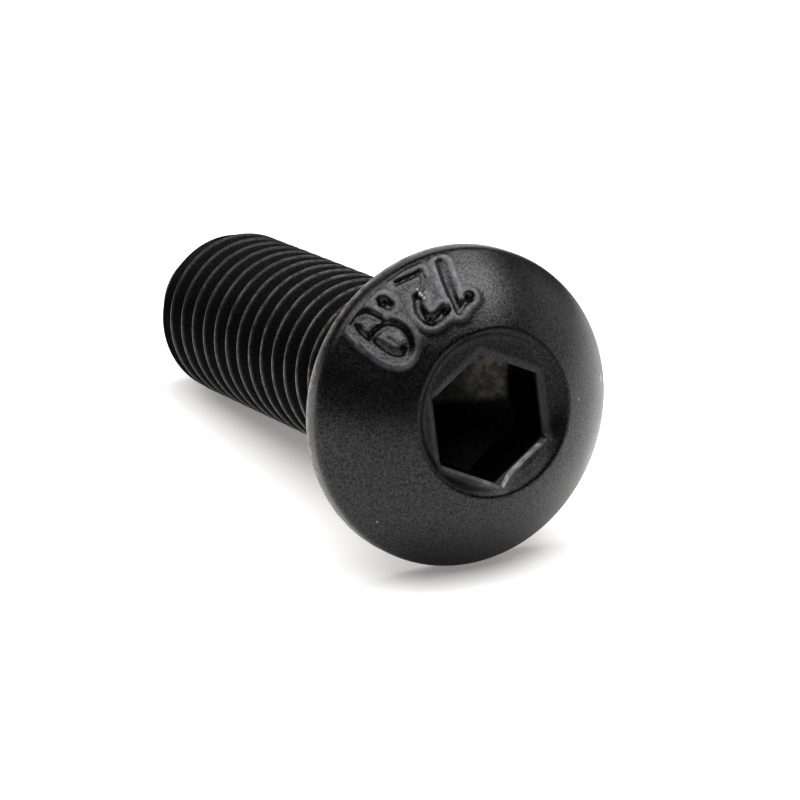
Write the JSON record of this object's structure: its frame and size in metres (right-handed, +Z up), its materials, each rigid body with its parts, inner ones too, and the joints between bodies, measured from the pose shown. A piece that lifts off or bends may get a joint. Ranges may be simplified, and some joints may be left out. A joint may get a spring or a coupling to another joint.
{
  "type": "button head screw",
  "caption": "Fully threaded metric button head screw with a domed head, a hexagon socket and a black oxide finish, lying on its rim and thread.",
  "frame": {"origin": "middle of the bounding box in plan, on the surface that the screw lies on", "axes": "+X from the tip towards the head, in the plane that the screw's axis lies in; +Z up from the surface. The axis rises towards the head by 7.93 degrees, because the screw rests on the rim of its head and on its thread."},
  "size_m": [0.0296, 0.014, 0.014],
  "materials": {
    "black_oxide_steel": "satin"
  },
  "bodies": {
    "root": {"button_head_screw": "black_oxide_steel"}
  },
  "joints": []
}
